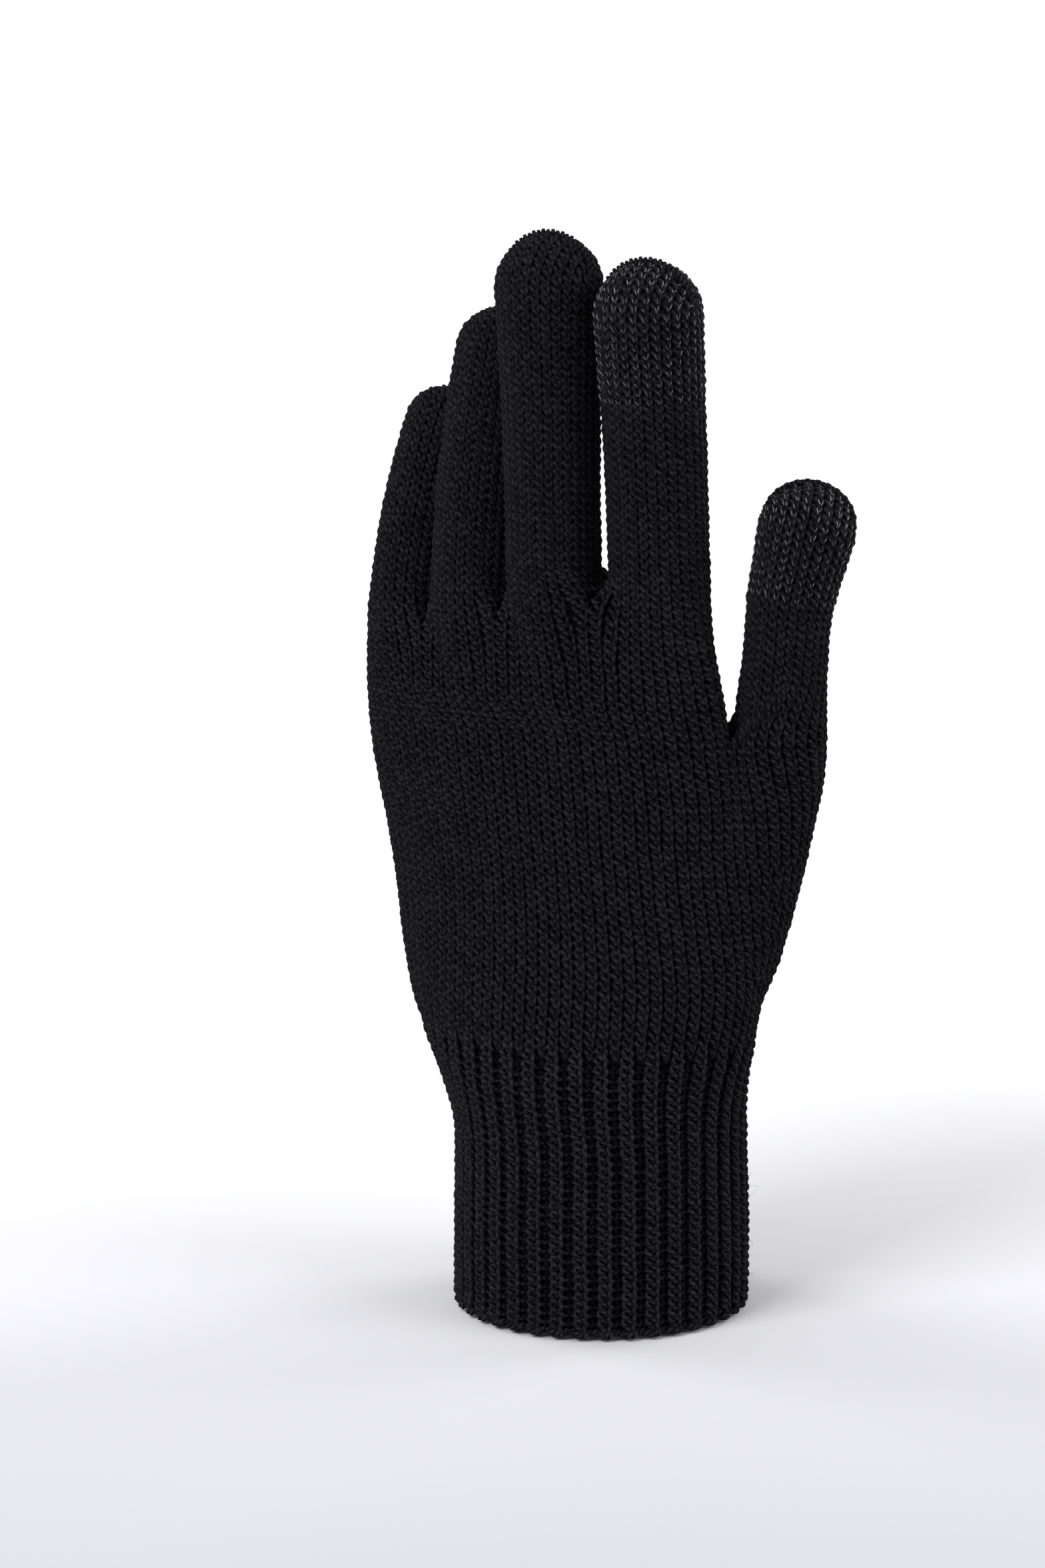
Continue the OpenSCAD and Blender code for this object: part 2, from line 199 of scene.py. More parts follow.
def lower_rings():
    """Skin of cuff and hand up to the thumb's fork: rows x (palm columns + swell columns) x 3."""
    cx, cy, a, b = table(HAND, 4, HEIGHTS)
    tx, ty, tr = table(SWELL, 4, HEIGHTS)
    a, b, tr = a - INSET, b - INSET, tr - INSET
    n1, n2 = table(NECKS, 5, HEIGHTS)
    rings = []
    for i, z in enumerate(HEIGHTS):
        start, stop = math.radians(n2[i]), math.radians(360 + n1[i])
        palm = ellipse(cx[i], cy[i], a[i], b[i], np.linspace(start, stop, 400))
        c = np.array([tx[i], ty[i]])
        to_first, to_last = palm[-1] - c, palm[0] - c
        b1 = math.atan2(to_first[1], to_first[0])
        b2 = math.atan2(to_last[1], to_last[0])
        if b2 < b1:
            b2 += 2 * math.pi
        turn = np.linspace(b1, b2, 160)
        reach = np.maximum(tr[i], reach_to_ellipse(c, cx[i], cy[i], a[i], b[i], turn))
        swell = c + reach[:, None] * np.stack([np.cos(turn), np.sin(turn)], 1)
        ring = resample(np.concatenate([palm, swell[1:-1]]), RING, closed=True)
        soft = 14 * (1 - 0.72 * smooth((z - 100) / (FORK_Z - 100)))
        ring = blur(ring, soft, wrap=True)
        # columns run evenly both ways from the middle of the back;
        # near the fork they end where the thumb begins
        neck = RING - 500 + np.argmin(np.linalg.norm(ring[RING - 500:] - palm[-1], axis=1))
        spine = np.argmin(np.abs(ring[:, 0] - cx[i]) + 1e3 * (ring[:, 1] > cy[i]))
        even = RING / (PALM_WALES + np.interp(z, GORE_WALES[:, 0], GORE_WALES[:, 1]))
        fork = smooth((z - FORK_Z + 30) / 28)
        first = (spine - SPINE_WALE * even) * (1 - fork)
        last = (spine + (PALM_WALES - SPINE_WALE) * even) * (1 - fork) + neck * fork
        where = np.concatenate([
            np.linspace(first, spine, SPINE_WALE * SAMPLES, endpoint=False),
            np.linspace(spine, last, (PALM_WALES - SPINE_WALE) * SAMPLES, endpoint=False),
            np.linspace(last, first + RING, SWELL_COLS, endpoint=False),
        ])
        low = np.floor(where).astype(int)
        part = (where - low)[:, None]
        flat = ring[low % RING] * (1 - part) + ring[(low + 1) % RING] * part
        rings.append(np.concatenate([flat, np.full((len(flat), 1), z)], 1))
    return blur(np.array(rings), 3)


LOWER = lower_rings()
PALM_COLS = PALM_WALES * SAMPLES


def upper_rings():
    """Skin of the hand over the thumb's fork, before it parts into fingers.

    Its columns are the palm's, and then those that face the thumb.
    """
    heights = np.arange(BASE_Z, FORK_Z + 46, DZ)
    cx, cy, a, b = table(HAND, 4, heights)
    a, b = a - INSET, b - INSET
    n1, n2 = math.radians(NECKS[-1][1]), math.radians(NECKS[-1][2])
    rings = []
    for i, z in enumerate(heights):
        palm = ellipse(cx[i], cy[i], a[i], b[i], np.linspace(n2, n1 + 2 * math.pi, 400))
        facing = ellipse(cx[i], cy[i], a[i], b[i], np.linspace(n1, n2, 60))
        flat = np.concatenate([
            resample(palm, PALM_COLS + 1)[:-1], resample(facing, FACING_THUMB * SAMPLES + 1)[:-1],
        ])
        rings.append(np.concatenate([flat, np.full((len(flat), 1), z)], 1))
    rings = np.array(rings)
    below = int(round(BASE_Z / DZ))
    joined = min(len(rings), len(LOWER) - below)
    stay = 1 - smooth((heights[:joined] - FORK_Z) / 11)[:, None, None]
    off = (LOWER[below:below + joined, :PALM_COLS] - rings[:joined, :PALM_COLS]) * stay
    rings[:joined, :PALM_COLS] += off
    share = np.linspace(0, 1, FACING_THUMB * SAMPLES, endpoint=False)[None, :, None]
    rings[:joined, PALM_COLS:] += off[:, -1:] * (1 - share) + off[:, :1] * share
    return rings


UPPER = upper_rings()
WEB_TO_HINGE = 6.0      # from the fork of two fingers up to their root joints

# r: radius along the finger from root to tip. shift: how far it lies off its joints, across.
# end: length of the end part; lean and roll: its lean to the palm and to the side, in degrees.
# turn: turn of the finger about the upright. start: angle at which its columns start.
# parts: the columns round it, on the hand's ring (first column, count) or in a web (neighbour, count).
# silver: length of the tip that is knitted with filament.
FINGERS = {
    "index": {
        "r": (11.2, 11.2, 11.4, 11.9), "shift": -0.35, "end": 27, "lean": -7, "roll": 0, "turn": 0,
        "start": -132, "parts": [("ring", 54, 22), ("middle", 8)], "silver": 29,
    },
    "middle": {
        "r": (10.6, 10.6, 11.0, 12.0), "shift": -0.4, "end": 26, "lean": -2, "roll": 0, "turn": 0,
        "start": 46.45, "silver": 0,
        "parts": [("ring", 8, 8), ("ring_finger", 7), ("ring", 46, 8), ("index", 8)],
    },
    "ring": {
        "r": (9.8, 9.7, 9.5, 9.4), "shift": 0, "end": 22, "lean": 19, "roll": 0, "turn": 0,
        "start": 46.7, "silver": 0,
        "parts": [("ring", 16, 7), ("little", 6), ("ring", 39, 7), ("middle", 7)],
    },
    "little": {
        "r": (9.0, 8.9, 8.8, 8.6), "shift": 0, "end": 17.5, "lean": 29, "roll": 2, "turn": 0,
        "start": 49.1, "parts": [("ring", 23, 16), ("ring_finger", 6)], "silver": 0,
    },
    "thumb": {
        "r": (10.2, 9.2, 9.7, 10.8), "shift": 0, "end": 26, "lean": 0, "roll": 13, "turn": 30,
        "start": -135.3, "parts": [("swell", 22), ("hand", 4)], "silver": 25,
    },
}
UP = np.array([0.0, 0.0, 1.0])


def joints_of(name):
    return [PIVOT[k] for k in (f"{name}_root_bend", f"{name}_mid_bend", f"{name}_end_bend") if k in PIVOT]


def root_of(name):
    first, second = joints_of(name)[:2]
    return first - WEB_TO_HINGE * unit(second - first)


def fork_height(name, other):
    """Height of the fork between two neighbours."""
    if other == "hand":
        return FORK_Z + 1.2
    other = "ring" if other == "ring_finger" else other
    return min(root_of(name)[2], root_of(other)[2])


def outward(grid):
    """Normals of a skin whose columns run anticlockwise seen from the fingertips and whose rows run up."""
    across = np.roll(grid, -1, 1) - np.roll(grid, 1, 1)
    return unit(np.cross(across, np.gradient(grid, axis=0)))


def part_columns(part, rows):
    """Place of one part's columns on the hand's skin, at each of the rows given."""
    count = part[-1] * SAMPLES
    r0 = np.clip(np.floor(rows).astype(int), 0, len(UPPER) - 2)
    fr = np.clip(rows - r0, 0, 1)[:, None, None]
    if part[0] == "ring":
        cols = (part[1] * SAMPLES + np.arange(count)) % UPPER.shape[1]
        return UPPER[r0][:, cols] * (1 - fr) + UPPER[r0 + 1][:, cols] * fr
    swell = LOWER[np.minimum(r0 + int(round(BASE_Z / DZ)), len(LOWER) - 1)]
    swell = np.concatenate([swell[:, PALM_COLS:], swell[:, :1]], 1)
    where = np.linspace(0, SWELL_COLS, count, endpoint=False)
    c0 = np.floor(where).astype(int)
    fc = (where - c0)[None, :, None]
    return swell[:, c0] * (1 - fc) + swell[:, c0 + 1] * fc


class Tube:
    """One finger's skin: rows x columns, from the thumb's fork up and over the tip."""

    def __init__(self, name):
        f = FINGERS[name]
        self.name, self.wales = name, sum(p[-1] for p in f["parts"])
        turn, lean, roll = (math.radians(f[k]) for k in ("turn", "lean", "roll"))
        across = np.array([math.cos(turn), math.sin(turn), 0])
        palmward = np.array([-math.sin(turn), math.cos(turn), 0])
        to_tip = (across * math.sin(roll) * math.cos(lean) + palmward * math.sin(lean)
                  + UP * math.cos(roll) * math.cos(lean))
        joints, root = joints_of(name), root_of(name)
        self.radius = f["r"][-1] - INSET
        self.top = joints[-1] + (f["end"] - f["r"][-1]) * to_tip
        line = np.array([[root[0], root[1], BASE_Z], root, *joints, self.top])
        line[1:, 0] += f["shift"]
        self.top = line[-1]
        length = np.linalg.norm(np.diff(line, axis=0), axis=1)
        self.rows = int(round(length.sum() / DZ)) + 1
        self.line = blur(resample(line, self.rows), 6)
        self.dz = length.sum() / (self.rows - 1)
        s = np.arange(self.rows) * self.dz
        rise = np.clip((s - length[0]) / (length.sum() - length[0]), 0, 1)
        radius = blur(np.interp(rise * 3, range(4), f["r"]), 8) - INSET
        radius[-1] = self.radius
        axis = unit(np.gradient(self.line, axis=0))
        ex = unit(across - (axis @ across)[:, None] * axis)
        ey = np.cross(axis, ex)
        turn_of = np.radians(f["start"] + 360 * np.arange(self.wales * SAMPLES) / (self.wales * SAMPLES))
        disc = radius[:, None, None] * (
            np.cos(turn_of)[None, :, None] * ex[:, None] + np.sin(turn_of)[None, :, None] * ey[:, None])
        circle = self.line[:, None] + disc
        rows = (self.line[:, 2] - BASE_Z) / DZ
        blocks, self.web = [None] * len(f["parts"]), np.zeros(self.wales)
        for i, part in enumerate(f["parts"]):
            if part[0] in ("ring", "swell"):
                blocks[i] = part_columns(part, rows)
        begin = np.full(self.wales * SAMPLES, FORK_Z)
        end = np.full(self.wales * SAMPLES, root[2] + 10)
        place, first = np.arange(self.wales * SAMPLES) / SAMPLES, 0
        for i, part in enumerate(f["parts"]):
            if blocks[i] is None:
                nxt, prev = blocks[(i + 1) % len(blocks)], blocks[i - 1]
                edge = 2 * prev[:, -1:] - prev[:, -2:-1]
                t = (np.arange(part[-1] * SAMPLES) / (part[-1] * SAMPLES))[None, :, None]
                blocks[i] = edge * (1 - t) + nxt[:, :1] * t
                fork = fork_height(name, part[0])
                self.web[first:first + part[-1]] = fork
                middle = first + part[-1] / 2
                away = np.abs((place - middle + self.wales / 2) % self.wales - self.wales / 2)
                away -= part[-1] / 2
                near = np.exp(-(np.maximum(away, 0) / 2.2) ** 2)
                inside = np.clip(-away / 1.6, 0, 1)
                begin += near * (fork - 3 - 3.5 * inside - begin)
                end += near * (fork + 6 - 3 * inside - end)
            first += part[-1]
        low = np.concatenate(blocks, 1)
        mix = smooth((self.line[:, 2:3] - begin) / (end - begin))[:, :, None]
        body = low * (1 - mix) + circle * mix
        body_n = outward(body)
        # the tip: each column goes straight over it, from the back to the palm side
        r, frame3 = self.radius, np.array([ex[-1], ey[-1], axis[-1]])
        self.frame = frame3
        x, sign = r * np.cos(turn_of), np.sign(np.sin(turn_of))
        rho = np.maximum(r * np.abs(np.sin(turn_of)), 0.02)
        self.rho = rho
        s_tip = np.arange(1, int(r * math.pi / 2 / self.dz) + 4) * self.dz
        alpha = np.minimum(s_tip[:, None] / rho[None], math.pi / 2)
        tip = np.stack([np.broadcast_to(x, alpha.shape), sign * rho * np.cos(alpha),
                        rho * np.sin(alpha)], -1)
        self.grid = np.concatenate([body, self.line[-1] + tip @ frame3])
        self.normal = np.concatenate([body_n, unit(tip) @ frame3])


def sample(grid, row, col):
    """The grid's values at fractions of rows and columns."""
    row = np.clip(row, 0, len(grid) - 1.001)
    r0, c0 = np.floor(row).astype(int), np.floor(col).astype(int)
    fr, fc = (row - r0)[:, None], (col - c0)[:, None]
    c0, c1 = c0 % grid.shape[1], (c0 + 1) % grid.shape[1]
    low = grid[r0, c0] * (1 - fc) + grid[r0, c1] * fc
    high = grid[r0 + 1, c0] * (1 - fc) + grid[r0 + 1, c1] * fc
    return low * (1 - fr) + high * fr


# ---------------------------------------------------------------- yarn

class Yarns:
    """Collects tubes of yarn for one piece, and dark sheets under them: painted shade seen through the
    gaps between the loops, which also stands for the fabric's inner side.
    """

    def __init__(self):
        self.co, self.quads, self.uv, self.mat, self.crown, self.count = [], [], [], [], [], 0

    def tube(self, points, normal, radius, sides, closed, mat=0, out=LOOP_D):
        n = len(points)
        if closed:
            tangent = unit(np.roll(points, -1, 0) - np.roll(points, 1, 0))
        else:
            tangent = unit(np.gradient(points, axis=0))
        up = unit(normal - (normal * tangent).sum(1, keepdims=True) * tangent)
        side = np.cross(tangent, up)
        a = math.pi + np.arange(sides) * 2 * math.pi / sides
        radius = np.broadcast_to(radius, (n,))[:, None, None]
        ring = points[:, None] + radius * (np.cos(a)[None, :, None] * up[:, None]
                                           + np.sin(a)[None, :, None] * side[:, None])
        along = np.concatenate([[0], np.cumsum(np.linalg.norm(np.diff(points, axis=0), axis=1))])
        last = along[-1] + np.linalg.norm(points[-1] - points[0])
        i = np.arange(n if closed else n - 1)
        i, j = (k.ravel() for k in np.meshgrid(i, np.arange(sides), indexing="ij"))
        i1, j1 = (i + 1) % n, (j + 1) % sides
        self.quads.append(self.count + np.stack(
            [i * sides + j, i1 * sides + j, i1 * sides + j1, i * sides + j1], -1))
        along = np.append(along, last)
        u0, u1, v0, v1 = along[i], along[i + 1], j / sides, (j + 1) / sides
        self.uv.append(np.stack([u0, v0, u1, v0, u1, v1, u0, v1], -1).reshape(-1, 2))
        self.co.append(ring.reshape(-1, 3))
        # Painted light and shade: each vertex's height out of the fabric. The yarn's colour follows it,
        # darker in the recesses and behind the loops, lighter on the crowns.
        out = np.broadcast_to(out, (n,))[:, None]
        self.crown.append((out + radius[:, :, 0] * np.cos(a)).ravel())
        self.mat.append(np.full(len(i), mat))
        self.count += n * sides

    def sheet(self, grid, keep, mat=1):
        """A grid whose columns close on themselves; keep says which of its quads to make."""
        rows, cols = grid.shape[:2]
        i, j = (k.ravel() for k in np.meshgrid(np.arange(rows - 1), np.arange(cols), indexing="ij"))
        chosen = keep[i, j]
        i, j = i[chosen], j[chosen]
        j1 = (j + 1) % cols
        self.quads.append(self.count + np.stack(
            [i * cols + j, i * cols + j1, (i + 1) * cols + j1, (i + 1) * cols + j], -1))
        self.uv.append(np.stack([j, i, j + 1, i, j + 1, i + 1, j, i + 1], -1).reshape(-1, 2).astype(float))
        self.co.append(grid.reshape(-1, 3))
        self.crown.append(np.zeros(rows * cols))
        self.mat.append(np.full(len(i), mat))
        self.count += rows * cols

    def build(self, name, materials):
        co, quads = np.concatenate(self.co) * MM, np.concatenate(self.quads)
        used, quads = np.unique(quads, return_inverse=True)
        co, quads = co[used], quads.reshape(-1, 4)
        mesh = bpy.data.meshes.new(name)
        mesh.vertices.add(len(co))
        mesh.vertices.foreach_set("co", co.astype(np.float32).ravel())
        mesh.loops.add(len(quads) * 4)
        mesh.loops.foreach_set("vertex_index", quads.astype(np.int32).ravel())
        mesh.polygons.add(len(quads))
        mesh.polygons.foreach_set("loop_start", np.arange(0, len(quads) * 4, 4, dtype=np.int32))
        mesh.polygons.foreach_set("material_index", np.concatenate(self.mat).astype(np.int32))
        # Height that drives the yarn's painted light and shade.
        crown = mesh.attributes.new("crown", "FLOAT", "POINT")
        crown.data.foreach_set("value", np.concatenate(self.crown)[used].astype(np.float32))
        uv = mesh.uv_layers.new(name="yarn")
        uv.data.foreach_set("uv", np.concatenate(self.uv).astype(np.float32).ravel())
        mesh.update(calc_edges=True)
        mesh.validate()
        mesh.shade_smooth()
        for m in materials:
            mesh.materials.append(m)
        obj = bpy.data.objects.new(name, mesh)
        bpy.context.scene.collection.objects.link(obj)
        return obj


def loop_curve(first, last):
    """A course of knit loops between two columns: phase, column, height and outward place."""
    t = np.linspace(0, 2 * math.pi * (last - first), (last - first) * STEPS + 1)
    col = first + t / (2 * math.pi) + LOOP_K * np.sin(2 * t)
    col = col + LEG_PAIR * np.sin(2 * math.pi * col) + LOOP_SKEW * np.cos(t)
    out = -LOOP_D * np.cos(2 * t) + LEG_STEP * np.sin(t) * np.abs(np.sin(t)) - WALE_WAVE * np.cos(t) ** 8
    return t, col, -LOOP_H / 2 * np.cos(t), out


def unevenness(count, size):
    """A small random wander from stitch to stitch, at each sample of a course."""
    knots = rng.normal(0, size, count + 2)
    at = np.arange(count * STEPS + 1) / STEPS + 0.5
    low = np.floor(at).astype(int)
    part = smooth(at - low)
    return knots[low] * (1 - part) + knots[low + 1] * part


def runs(mask):
    """Runs of True round a ring, as (first, last + 1); a full ring comes as (0, n)."""
    n = len(mask)
    if mask.all():
        return [(0, n)]
    begins = [k for k in range(n) if mask[k] and not mask[k - 1]]
    found = []
    for k in begins:
        e = k
        while mask[e % n]:
            e += 1
        found.append((k, e))
    return found


def gore_wales(z):
    return int(2 * round(np.interp(z, GORE_WALES[:, 0], GORE_WALES[:, 1]) / 2))


def rib_depth(z):
    return smooth((RIB_TOP - z) / RIB_FADE)


def skin_columns(place, gore):
    """Columns of the lower skin at places counted in columns of stitches."""
    return np.where(place < PALM_WALES, place * SAMPLES,
                    PALM_COLS + (place - PALM_WALES) / gore * SWELL_COLS)


LOWER_N = outward(LOWER)


def lower_course(cloth, height):
    """One closed course on cuff or hand under the thumb's fork."""
    gore = gore_wales(height)
    wales = PALM_WALES + gore
    t, col, up, out = loop_curve(0, wales)
    ribbed = rib_depth(height)
    wave = np.clip(1.5 * np.cos(math.pi * (t / (2 * math.pi) - 0.5)), -1, 1)
    out = out * (1 - ribbed + ribbed * wave) + ribbed * RIB_WAVE * wave
    col = col - RIB_PINCH * ribbed * np.cos(math.pi * col)
    col = col + unevenness(wales, 0.03)
    up = up + unevenness(wales, 0.07) + 0.25 * ribbed * (height < 3) * wave
    out = out + unevenness(wales, 0.05)
    place = np.mod(col, wales)
    cols = skin_columns(place, gore)
    rows = (height + up) / DZ
    normal = sample(LOWER_N, rows, cols)
    points = sample(LOWER, rows, cols) + out[:, None] * normal
    points[:, 2] += np.minimum(height + up, 0)
    radius = YARN_R * (1 + 0.05 * np.clip(unevenness(wales, 1), -2, 2))
    cloth.tube(points[:-1], normal[:-1], radius[:-1], SIDES, True, out=out[:-1])


def tube_course(cloth, tube, s, leg_points=None):
    """One course on a finger, at distance s up its skin. Columns in a web start over their fork."""
    height = np.interp(s, np.arange(tube.rows) * tube.dz, tube.line[:, 2])
    mask = tube.web < height + 0.1
    over = s - (tube.rows - 1) * tube.dz
    if over > 0:
        rho = tube.rho.reshape(-1, SAMPLES)[:, SAMPLES // 2]
        mask = mask & (rho * math.pi / 2 > over + 0.3)
    for first, last in runs(mask):
        wales = last - first
        t, col, up, out = loop_curve(first, last)
        col = col + unevenness(wales, 0.03)
        up = up + unevenness(wales, 0.07)
        out = out + unevenness(wales, 0.05)
        rows, cols = (s + up) / tube.dz, np.mod(col, tube.wales) * SAMPLES
        normal = sample(tube.normal, rows, cols)
        points = sample(tube.grid, rows, cols) + out[:, None] * normal
        closed = wales == tube.wales
        radius = YARN_R * (1 + 0.05 * np.clip(unevenness(wales, 1), -2, 2))
        if closed:
            cloth.tube(points[:-1], normal[:-1], radius[:-1], SIDES, True, out=out[:-1])
        else:
            cloth.tube(points, normal, radius, SIDES, False, out=out)
        if leg_points is not None:
            leg_points.append((points, normal, wales))


# ---------------------------------------------------------------- materials

def material(name, color, roughness, **inputs):
    m = bpy.data.materials.new(name)
    m.use_nodes = True
    shader = m.node_tree.nodes["Principled BSDF"]
    shader.inputs["Base Color"].default_value = (*color, 1)
    shader.inputs["Roughness"].default_value = roughness
    for key, value in inputs.items():
        shader.inputs[key.replace("_", " ")].default_value = value
    return m, m.node_tree, shader


def math_node(tree, kind, *values):
    node = tree.nodes.new("ShaderNodeMath")
    node.operation = kind
    for k, value in enumerate(values):
        if isinstance(value, (int, float)):
            node.inputs[k].default_value = value
        else:
            tree.links.new(value, node.inputs[k])
    return node.outputs[0]


def yarn_material(name, dark, light, roughness=1.0, sheen=0.004, twist=1.5, plies=2, depth=0.0003):
    """Twisted matte acrylic yarn: plies by the yarn's own length, fibres and uneven dye by noise. Its
    colour has painted shade in the grooves between the plies, and painted light and shade by the yarn's
    height out of the fabric.
    """
    m, tree, shader = material(name, dark, roughness, Sheen_Weight=sheen, Sheen_Roughness=0.45,
                               Specular_IOR_Level=0.015)
    shader.inputs["Sheen Tint"].default_value = (0.95, 0.93, 1.0, 1)
    uv = tree.nodes.new("ShaderNodeUVMap")
    uv.uv_map = "yarn"
    split = tree.nodes.new("ShaderNodeSeparateXYZ")
    tree.links.new(uv.outputs[0], split.inputs[0])
    turns = math_node(tree, "DIVIDE", split.outputs[0], twist)
    around = math_node(tree, "MULTIPLY", split.outputs[1], float(plies))
    phase = math_node(tree, "MULTIPLY", math_node(tree, "ADD", turns, around), 2 * math.pi)
    ply = math_node(tree, "SINE", phase)
    place = tree.nodes.new("ShaderNodeTexCoord")
    fibres = tree.nodes.new("ShaderNodeTexNoise")
    fibres.inputs["Scale"].default_value = 1.0
    fibres.inputs["Detail"].default_value = 2
    strand = tree.nodes.new("ShaderNodeCombineXYZ")
    tree.links.new(math_node(tree, "MULTIPLY", split.outputs[0], 1.1), strand.inputs[0])
    tree.links.new(math_node(tree, "MULTIPLY", math_node(tree, "ADD", split.outputs[1],
                   math_node(tree, "DIVIDE", split.outputs[0], twist * plies)), 16.0), strand.inputs[1])
    tree.links.new(strand.outputs[0], fibres.inputs["Vector"])
    height = math_node(tree, "ADD", ply, math_node(tree, "MULTIPLY", fibres.outputs["Fac"], 1.6))
    bump = tree.nodes.new("ShaderNodeBump")
    bump.inputs["Strength"].default_value = 0.9
    bump.inputs["Distance"].default_value = depth
    tree.links.new(height, bump.inputs["Height"])
    tree.links.new(bump.outputs[0], shader.inputs["Normal"])
    dye = tree.nodes.new("ShaderNodeTexNoise")
    dye.inputs["Scale"].default_value = 420
    dye.inputs["Detail"].default_value = 3
    tree.links.new(place.outputs["Object"], dye.inputs["Vector"])
    # Colour: painted shade in the grooves of the plies' twist, with uneven dye and fibre mottling by
    # noise.
    ply_shade_and_mottling = math_node(tree, "ADD", math_node(tree, "MULTIPLY", ply, 0.3), dye.outputs["Fac"])
    ply_shade_and_mottling = math_node(tree, "ADD", ply_shade_and_mottling, math_node(tree, "MULTIPLY", fibres.outputs["Fac"], 0.7))
    ply_shade_and_mottling = math_node(tree, "SUBTRACT", ply_shade_and_mottling, 0.35)
    ramp = tree.nodes.new("ShaderNodeValToRGB")
    ramp.color_ramp.elements[0].position, ramp.color_ramp.elements[1].position = 0.2, 0.85
    ramp.color_ramp.elements[0].color, ramp.color_ramp.elements[1].color = (*dark, 1), (*light, 1)
    tree.links.new(ply_shade_and_mottling, ramp.inputs[0])
    # Painted light and shade: the base colour is scaled by each vertex's height out of the fabric, dark in
    # the recesses between and behind the loops, bright on the crowns.
    crown = tree.nodes.new("ShaderNodeAttribute")
    crown.attribute_name = "crown"
    reach = tree.nodes.new("ShaderNodeMapRange")
    reach.interpolation_type = "SMOOTHSTEP"
    for key, value in (("From Min", 0.0), ("From Max", 0.9), ("To Min", 0.25), ("To Max", 1.9)):
        reach.inputs[key].default_value = value
    tree.links.new(crown.outputs["Fac"], reach.inputs["Value"])
    shaded = tree.nodes.new("ShaderNodeVectorMath")
    shaded.operation = "SCALE"
    tree.links.new(ramp.outputs[0], shaded.inputs[0])
    tree.links.new(reach.outputs[0], shaded.inputs["Scale"])
    tree.links.new(shaded.outputs[0], shader.inputs["Base Color"])
    return m


BLACK = yarn_material("black_yarn", (0.0028, 0.0027, 0.0032), (0.0088, 0.0084, 0.01))
RIB = yarn_material("rib_yarn", (0.0034, 0.0033, 0.0039), (0.0107, 0.0102, 0.0121))
TOUCH = yarn_material("conductive_knit", (0.0028, 0.0028, 0.0034), (0.009, 0.009, 0.0105), roughness=0.7)
# Painted shade: a dark sheet just behind the loops, seen through the gaps between the stitches; it also
# stands for the inner side of the fabric.
SHADE_SHEET = material("inner_side_of_knit", (0.002, 0.002, 0.0025), 1.0, Specular_IOR_Level=0.02)[0]
FUZZ = material("loose_fibres", (0.01, 0.01, 0.012), 0.9, Specular_IOR_Level=0.05)[0]
SILVER = material("silver_filament", (0.33, 0.32, 0.315), 0.45, Metallic=1.0)[0]


# ---------------------------------------------------------------- making the pieces

def fibres(cloth, grid, normal, rows, count):
    """Loose fibres that stand off the fabric between two skin rows: a few long, many short."""
    for long, number in ((True, count // 4), (False, count)):
        row, col = rng.uniform(*rows, number), rng.uniform(0, grid.shape[1], number)
        base, up = sample(grid, row, col), unit(sample(normal, row, col))
        lean = rng.normal(0, 1, (number, 3))
        lean = unit(lean - up * (lean * up).sum(1, keepdims=True))
        length = np.minimum((1.6 if long else 0.8) + rng.exponential(1.0 if long else 0.35, number), 5.5)
        way = unit(up * rng.uniform(0.1, 1.0, (number, 1)) + lean)
        curl = unit(np.cross(way, rng.normal(0, 1, (number, 3)))) * rng.uniform(0.3, 1.0, (number, 1))
        s = np.linspace(0, 1, 5 if long else 3)
        for k in range(number):
            reach = length[k] * s[:, None]
            points = base[k] + up[k] * (LOOP_D + 0.35) + way[k] * reach
            points = points + curl[k] * reach * s[:, None] * 0.6
            width = 0.034 * (1.15 - 0.75 * s)
            cloth.tube(points, np.broadcast_to(curl[k], points.shape), width, 3, False, 2)


def finish_piece(cloth, name, materials, nodes):
    obj = cloth.build(name, materials)
    if nodes:
        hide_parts(*nodes)
    return obj


GIRTH = 200             # rough length round cuff and hand
FIBRE_AREA = 11         # fabric for each short loose fibre, in square mm
COURSES = np.arange(FIRST_COURSE, FORK_Z, COURSE)
BENDS = 21.0            # half the length of fabric round the wrist's joint; the wrist pieces take 2 mm more on each side
WRIST_LOW, WRIST_HIGH = WRIST_Z - BENDS - 2, WRIST_Z + BENDS + 2


def lower_piece(name, low, high, yarn, nodes, edge=False):
    cloth = Yarns()
    for height in COURSES[(COURSES >= low) & (COURSES < high)]:
        lower_course(cloth, height)
    z = HEIGHTS[:, None, None]
    ribbed = rib_depth(z)
    # Painted shade: a dark sheet just behind the loops, deeper under the ribs, seen through the gaps
    # between the stitches.
    shade_sheet = LOWER - LOWER_N * (0.5 + 0.75 * ribbed)
    keep = np.zeros(shade_sheet.shape[:2], bool)
    keep[(HEIGHTS >= max(low - 1, 1.0)) & (HEIGHTS < min(high, FORK_Z + 1) - 0.2)] = True
    cloth.sheet(shade_sheet[:, ::2], keep[:, ::2])
    fibres(cloth, LOWER, LOWER_N, (low / DZ, high / DZ), int((high - low) * GIRTH / FIBRE_AREA))
    if edge:
        edge_yarn(cloth)
    return finish_piece(cloth, name, [yarn, SHADE_SHEET, FUZZ], nodes)


